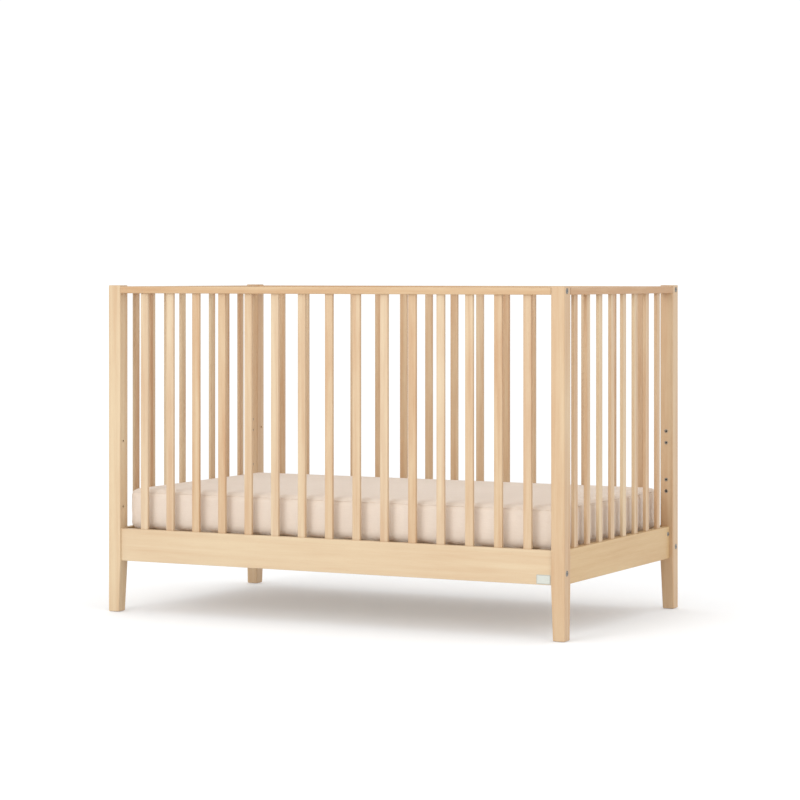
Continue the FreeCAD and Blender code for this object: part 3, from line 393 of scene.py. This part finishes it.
def pillow_mesh(name, low, high, corner, edge, spacing):
    """A closed grid of quads on a block whose upright corners and rims are rounded."""
    low, high = Vector(low), Vector(high)
    size = high - low
    radii = Vector((corner, corner, edge))
    counts = [max(6, round(size[i] / spacing)) for i in range(3)]
    mesh = bmesh.new()
    known = {}

    def vertex(index):
        if index not in known:
            q = Vector([low[i] + size[i] * index[i] / counts[i] for i in range(3)])
            core = Vector([min(max(q[i], low[i] + radii[i]), high[i] - radii[i])
                           for i in range(3)])
            d = [(q[i] - core[i]) / radii[i] for i in range(3)]
            length = math.sqrt(sum(value * value for value in d))
            unit = [value / length * max(abs(v) for v in d) for value in d]
            known[index] = mesh.verts.new(core + Vector([unit[i] * radii[i] for i in range(3)]))
        return known[index]

    for axis in range(3):
        u, v = [i for i in range(3) if i != axis]
        for end in (0, counts[axis]):
            for i in range(counts[u]):
                for j in range(counts[v]):
                    loop = []
                    for du, dv in ((0, 0), (1, 0), (1, 1), (0, 1)):
                        index = [0, 0, 0]
                        index[axis], index[u], index[v] = end, i + du, j + dv
                        loop.append(vertex(tuple(index)))
                    mesh.faces.new(loop)
    return smooth_object(name, mesh)


def inflate(item, pinned_below, cap, least, most, frames=20):
    """Runs cloth under pressure with the underside held. The motion is scaled as a whole, so that
    no point moves further than cap, and none leaves the room between the rails."""
    rest = [vertex.co.copy() for vertex in item.data.vertices]
    pins = item.vertex_groups.new(name="pins")
    pins.add([i for i, point in enumerate(rest) if point.z < pinned_below], 1.0, "ADD")
    cloth = item.modifiers.new("cloth", "CLOTH")
    settings = cloth.settings
    settings.vertex_group_mass = "pins"
    settings.use_pressure = True
    settings.uniform_pressure_force = 4.0
    settings.effector_weights.gravity = 0.0
    settings.quality = 5
    settings.tension_stiffness = 12.0
    settings.compression_stiffness = 12.0
    settings.bending_stiffness = 0.4
    settings.shrink_min = -0.006
    cloth.collision_settings.use_self_collision = False
    scene = bpy.context.scene
    cloth.point_cache.frame_start, cloth.point_cache.frame_end = 1, frames
    for number in range(1, frames + 1):
        scene.frame_set(number)
    shown = item.evaluated_get(bpy.context.evaluated_depsgraph_get())
    moved = [vertex.co.copy() for vertex in shown.data.vertices]
    item.modifiers.remove(cloth)
    scene.frame_set(1)
    longest = max((finish - start).length for start, finish in zip(rest, moved))
    scale = min(1.0, cap / longest)
    for vertex, start, finish in zip(item.data.vertices, rest, moved):
        point = start + (finish - start) * scale
        vertex.co = [min(max(point[i], least[i]), most[i]) for i in range(3)]
    item.vertex_groups.remove(pins)


def crown(item, low, high, rise):
    """Lifts the top a little towards its middle."""
    centre = (low + high) / 2
    half = (high - low) / 2
    for vertex in item.data.vertices:
        point = vertex.co
        u, v = (point.x - centre.x) / half.x, (point.y - centre.y) / half.y
        upper = max(0.0, (point.z - centre.z) / half.z)
        point.z += rise * upper * (1 - u ** 6) * (1 - v ** 4)


SIDE_DEPTH = 0.012                              # a point this near a face belongs to that side
CREASE_REACH, CREASE_HEIGHT = 0.075, 0.060      # how fast creases fade along a side and upwards
CREASE_PITCH, CREASE_SLANT = 0.034, 0.8
SAG_PITCH, SAG_HEIGHT, SAG_SHARE = 0.21, 0.030, 0.25


def crease(item, low, high, deep):
    """Pulls slanting creases into the sides near the corners, where the sheet turns under."""
    centre = (low + high) / 2
    half = (high - low) / 2
    for vertex in item.data.vertices:
        point = vertex.co
        for run, face in ((0, 1), (1, 0)):
            if abs(point[face] - centre[face]) < half[face] - SIDE_DEPTH:
                continue
            from_corner = half[run] - abs(point[run] - centre[run])
            height = point.z - low.z
            fade = math.exp(-from_corner / CREASE_REACH) * math.exp(-height / CREASE_HEIGHT)
            slant = math.sin((from_corner + CREASE_SLANT * height) * 2 * math.pi / CREASE_PITCH
                             + 3 * centre[run] + 1.3 * face)
            wave = math.sin(point[run] * 2 * math.pi / SAG_PITCH + face)
            sag = SAG_SHARE * math.exp(-height / SAG_HEIGHT) * wave
            pull = deep * (fade * (0.5 + 0.5 * slant) + max(0.0, sag))
            point[face] -= math.copysign(pull, point[face])


def rounded_path(half_x, half_y, corner, step):
    """Points and outward directions around a rectangle with round corners."""
    points = []
    corner_steps = 6
    for quarter in range(4):
        turn = quarter * math.pi / 2
        length, reach = (half_y, half_x) if quarter % 2 == 0 else (half_x, half_y)
        out = Vector((math.cos(turn), math.sin(turn)))
        along = Vector((-out.y, out.x))
        steps = max(2, round(2 * (length - corner) / step))
        for i in range(steps):
            t = -(length - corner) + 2 * (length - corner) * i / steps
            points.append((out * reach + along * t, out))
        middle = out * (reach - corner) + along * (length - corner)
        for i in range(corner_steps):
            angle = turn + math.pi / 2 * i / corner_steps
            direction = Vector((math.cos(angle), math.sin(angle)))
            points.append((middle + direction * corner, direction))
    return points


def cord(name, path, level, wide, tall, gather=0.0):
    """A closed cord along a path; gather puckers it as elastic does."""
    mesh = bmesh.new()
    sides = 8
    rings = []
    for number, (point, out) in enumerate(path):
        pucker = gather * math.sin(number * 1.9) * math.sin(number * 0.37 + 1)
        swell = 1 + 0.4 * math.copysign(min(1, abs(pucker) * 400), pucker)
        ring = []
        for side in range(sides):
            angle = 2 * math.pi * side / sides
            reach = math.cos(angle) * wide / 2 * swell + pucker
            ring.append(mesh.verts.new((point.x + out.x * reach, point.y + out.y * reach,
                                        level + math.sin(angle) * tall / 2)))
        rings.append(ring)
    for ring, after in zip(rings, rings[1:] + rings[:1]):
        for side in range(sides):
            beside = (side + 1) % sides
            mesh.faces.new((ring[side], ring[beside], after[beside], after[side]))
    return smooth_object(name, mesh)


UNDERSIDE_DEPTH = 0.006     # faces whose middle is lower than this are the underside


def open_underside(sheet, low, high, tuck):
    """Takes out the underside inside the tucked border."""
    mesh = bmesh.new()
    mesh.from_mesh(sheet.data)

    def opens(face):
        point = face.calc_center_median()
        return (point.z < low.z + UNDERSIDE_DEPTH
                and low.x + tuck < point.x < high.x - tuck
                and low.y + tuck < point.y < high.y - tuck)

    bmesh.ops.delete(mesh, geom=[face for face in mesh.faces if opens(face)], context="FACES")
    mesh.to_mesh(sheet.data)
    mesh.free()


MOST_MOTION = 0.003         # how far the simulation may move a point
SHEET_SPACING, PAD_SPACING = 0.008, 0.018


def build_bedding():
    low, high = (Vector(corner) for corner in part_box("fitted_sheet"))
    tuck = 0.075            # how far the sheet turns in under each edge
    sheet_material = cotton("sheet_cotton", (231, 217, 203), (217, 201, 185))
    inset = Vector((0.0012, 0.0012, 0.0))
    sheet = pillow_mesh("crib_sheet", low + inset, high - inset - Vector((0, 0, 0.0025)),
                        0.023, 0.021, SHEET_SPACING)
    crown(sheet, low, high, 0.001)
    room = Vector((-0.0006, -0.0006, 0.0))
    inflate(sheet, low.z + 0.004, MOST_MOTION, low - room,
            high + room + Vector((0, 0, 0.006)))
    crease(sheet, low, high, 0.0022)
    open_underside(sheet, low, high, tuck)
    sheet.data.materials.append(sheet_material)
    shell = sheet.modifiers.new("thickness", "SOLIDIFY")
    shell.thickness = 0.0010
    shell.offset = -1

    half = (high - low) / 2
    seam = cord("sheet_seam", rounded_path(half.x - 0.0056, half.y - 0.0056, 0.020, 0.010),
                high.z - 0.0112, 0.0034, 0.0030)
    hem = cord("sheet_hem", rounded_path(half.x - tuck, half.y - tuck, 0.030, 0.006),
               low.z + 0.0026, 0.0090, 0.0036, gather=0.0022)
    for item in (seam, hem):
        item.data.materials.append(sheet_material)
    for item in (sheet, seam, hem):
        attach(item, MATTRESS_BODY)
    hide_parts("fitted_sheet")

    core_low, core_high = (Vector(corner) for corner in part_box("mattress_core"))
    pad = pillow_mesh("mattress_pad", core_low + Vector((0.005, 0.005, 0.003)),
                      core_high - Vector((0.005, 0.005, 0.004)), 0.021, 0.019, PAD_SPACING)
    pad.data.materials.append(cotton("ticking", (236, 233, 226), (214, 210, 201), 0.0012, 0.1,
                                     quilt=0.055))
    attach(pad, MATTRESS_BODY)
    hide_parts("mattress_core")


dress_frame()
dress_support()
build_bedding()


# ---------------------------------------------------------------- studio
def build_floor():
    mesh = bmesh.new()
    bmesh.ops.create_grid(mesh, x_segments=8, y_segments=8, size=30)
    data = bpy.data.meshes.new("studio_floor")
    mesh.to_mesh(data)
    mesh.free()
    floor = bpy.data.objects.new("studio_floor", data)
    bpy.context.scene.collection.objects.link(floor)
    material, tree, shader = new_material("floor_paper", 0.9, Specular_IOR_Level=0.0,
                                          Emission_Color=(0.165, 0.178, 0.190, 1),
                                          Emission_Strength=1.0)
    g = Graph(tree)
    tooth = g.noise(g.position(), 9.0, 3.0)
    g.put(shader.inputs["Base Color"], g.mix(tooth, linear(236, 236, 236), linear(234, 234, 234)))
    data.materials.append(material)


def area_light(name, place, target, size, power, colour=(1, 1, 1)):
    lamp = bpy.data.lights.new(name, "AREA")
    lamp.shape = "DISK"
    lamp.size = size
    lamp.energy = power
    lamp.color = colour
    item = bpy.data.objects.new(name, lamp)
    item.location = place
    item.rotation_euler = (Vector(target) - Vector(place)).to_track_quat("-Z", "Y").to_euler()
    bpy.context.scene.collection.objects.link(item)


def build_studio():
    build_floor()
    world = bpy.data.worlds.new("studio")
    world.use_nodes = True
    background = world.node_tree.nodes["Background"]
    background.inputs["Color"].default_value = (1, 1, 1, 1)
    background.inputs["Strength"].default_value = 1.06
    scene = bpy.context.scene
    scene.world = world
    scene.view_settings.view_transform = "Standard"
    area_light("key", (-0.8, -5.2, 2.3), (0, 0, 0.4), 2.6, 74, (0.97, 1.0, 1.03))
    area_light("side", (3.6, -2.6, 1.4), (0.7, -0.3, 0.5), 1.8, 13, (1.12, 0.98, 0.86))


def build_camera():
    camera = bpy.data.cameras.new("camera")
    camera.sensor_width = 36
    camera.lens = 116.64
    camera.shift_x = -0.111
    camera.shift_y = -0.1562
    item = bpy.data.objects.new("camera", camera)
    item.location = (3.391, -6.309, 0.924)
    item.rotation_euler = (math.radians(90), 0, math.radians(26.18))
    bpy.context.scene.collection.objects.link(item)
    bpy.context.scene.camera = item


build_studio()
build_camera()
